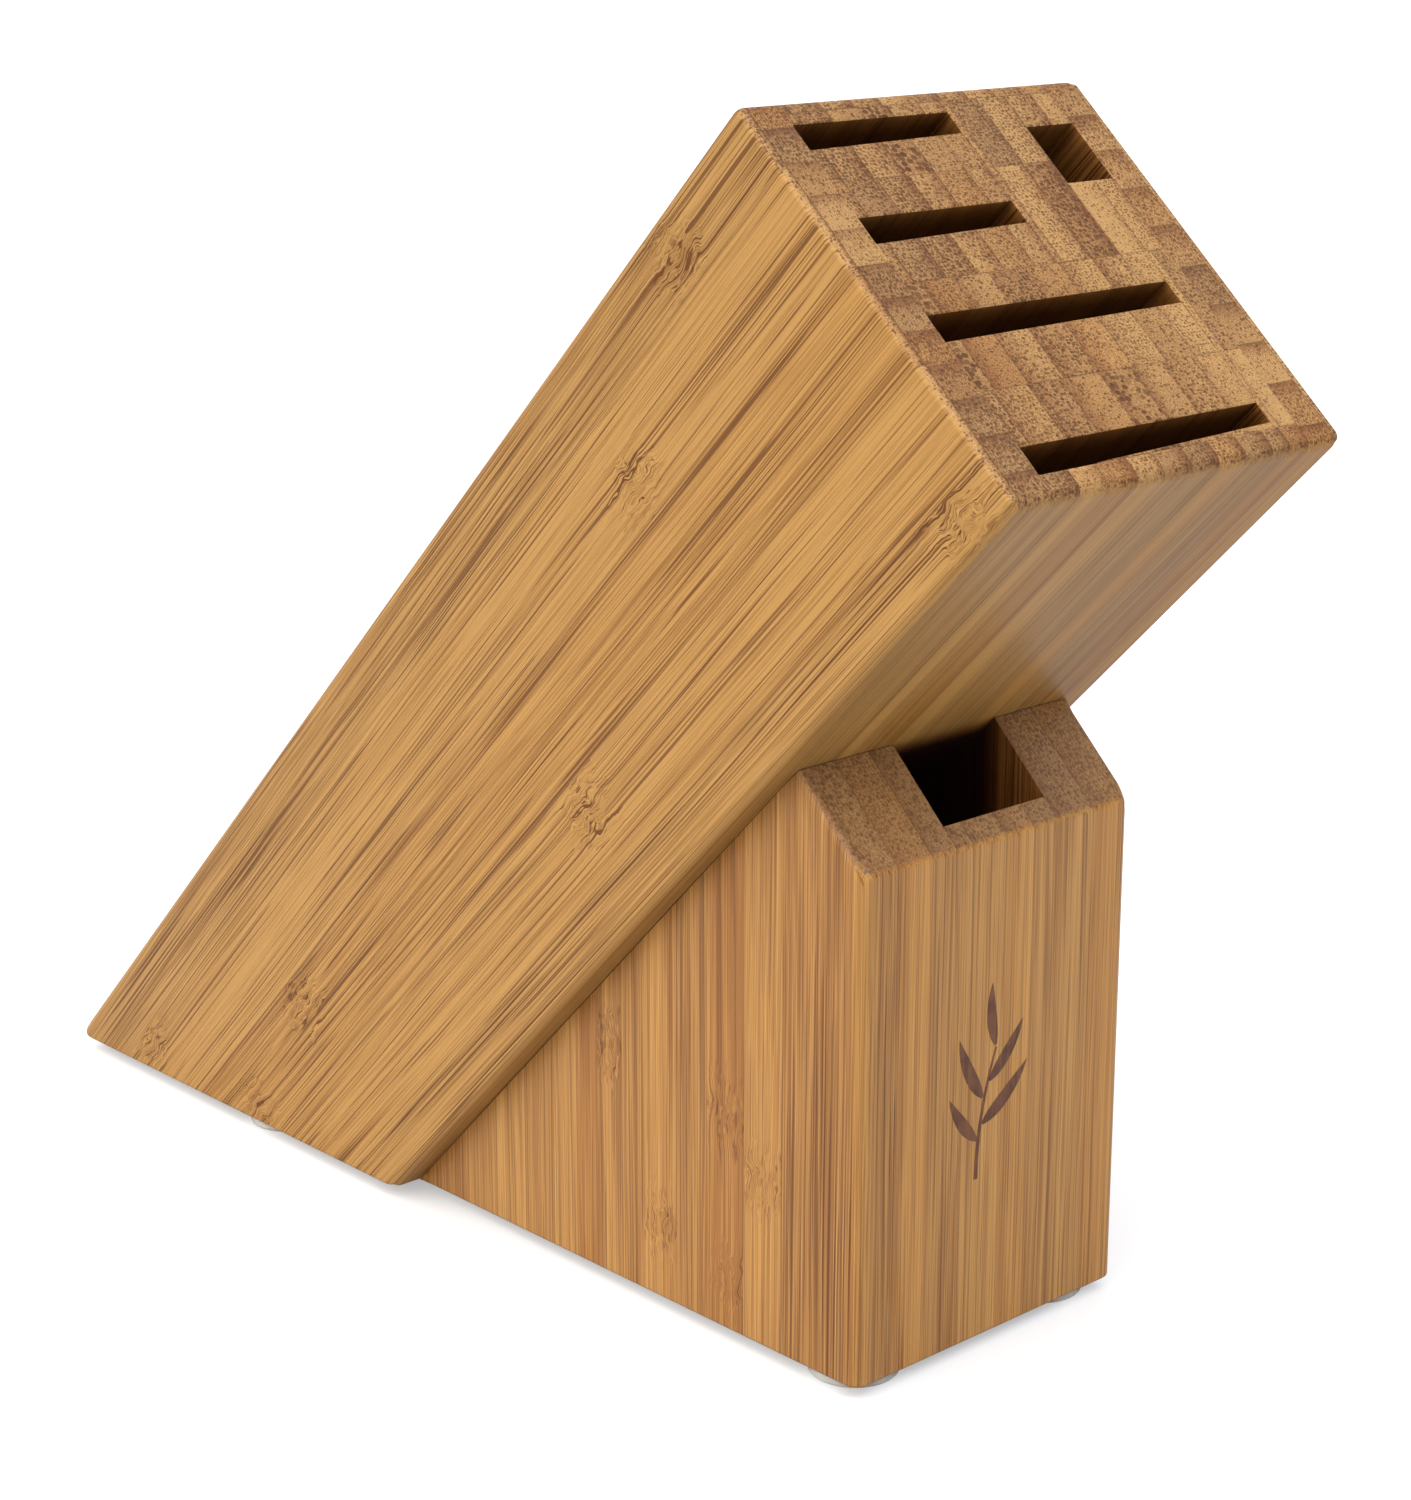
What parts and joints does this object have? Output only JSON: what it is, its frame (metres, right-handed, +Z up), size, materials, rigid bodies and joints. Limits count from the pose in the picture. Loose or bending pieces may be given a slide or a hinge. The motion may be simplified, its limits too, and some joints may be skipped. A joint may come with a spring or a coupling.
{
  "type": "knife block",
  "caption": "Slim laminated bamboo knife block leaning back on a bamboo support, with through slots for blades, a honing steel and shears, on clear feet",
  "frame": {"origin": "on the surface that the feet stand on, at the middle of the bounding box", "axes": "X across the block, -Y towards the open end of the slots, +Z up"},
  "size_m": [0.089, 0.2976, 0.24],
  "materials": {
    "bamboo_outer": "carbonised bamboo strips with a thin satin lacquer",
    "bamboo_core": "bamboo strips on edge, end grain showing at the open end, thin satin lacquer",
    "bamboo_support": "upright bamboo strips with a thin satin lacquer",
    "clear_foot": "clear soft bumper"
  },
  "bodies": {
    "root": {"back_board": "bamboo_outer", "core_1_floor": "bamboo_core", "core_1_roof": "bamboo_core", "core_1_web": "bamboo_core", "core_2_floor": "bamboo_core", "core_2_roof": "bamboo_core", "core_2_web": "bamboo_core", "core_3_floor": "bamboo_core", "core_3_roof": "bamboo_core", "core_3_web": "bamboo_core", "core_4_roof": "bamboo_core", "core_4_web": "bamboo_core", "foot_front_left": "clear_foot", "foot_front_right": "clear_foot", "foot_rear_left": "clear_foot", "foot_rear_right": "clear_foot", "side_board_left": "bamboo_outer", "side_board_right": "bamboo_outer", "side_ply_left": "bamboo_outer", "side_ply_right": "bamboo_outer", "steel_slot_floor": "bamboo_core", "steel_slot_roof": "bamboo_core", "support_left_1": "bamboo_support", "support_left_2": "bamboo_support", "support_left_3": "bamboo_support", "support_middle_1": "bamboo_support", "support_middle_2": "bamboo_support", "support_middle_3": "bamboo_support", "support_middle_4": "bamboo_support", "support_right_1": "bamboo_support", "support_right_2": "bamboo_support", "underside_board": "bamboo_outer"}
  },
  "joints": []
}
